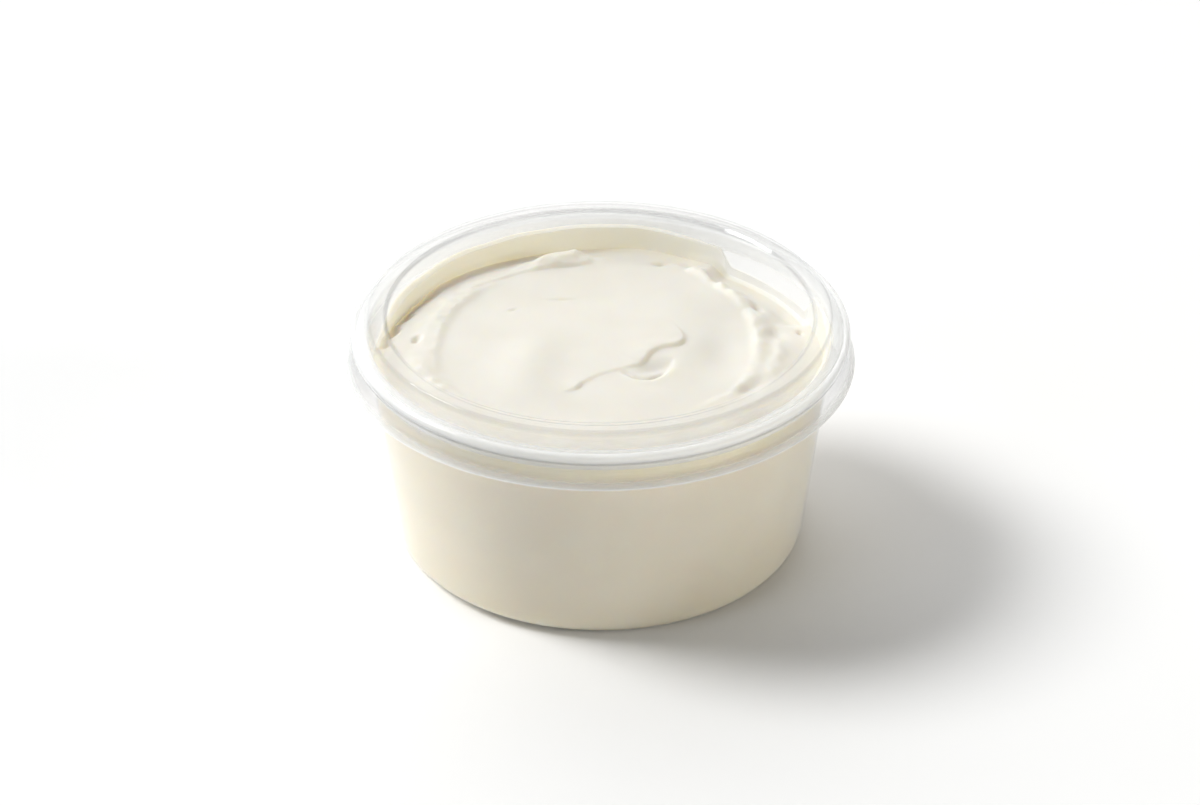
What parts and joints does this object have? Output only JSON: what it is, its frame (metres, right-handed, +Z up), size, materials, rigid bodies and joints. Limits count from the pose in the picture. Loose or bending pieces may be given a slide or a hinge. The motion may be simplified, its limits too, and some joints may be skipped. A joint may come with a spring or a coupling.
{
  "type": "mascarpone tub",
  "caption": "Round clear plastic deli tub full of swirled ivory mascarpone, shut by a clear push-on lid with a raised ridge and a flared skirt.",
  "frame": {"origin": "middle of the standing ring under the tub, on the surface it stands on", "axes": "+Z up along the axis of the tub; the tub and the lid are round, and the top of the mascarpone faces the viewer along +Y"},
  "size_m": [0.1038, 0.1038, 0.0517],
  "materials": {
    "tub_plastic": "thin clear polypropylene, glossy, faintly milky at the rim",
    "lid_plastic": "thin clear plastic, glossy, with a slight haze",
    "mascarpone": "smooth thick cream cheese, ivory, softly moist"
  },
  "bodies": {
    "root": {"tub": "tub_plastic", "lid": "lid_plastic", "mascarpone": "mascarpone"}
  },
  "joints": []
}
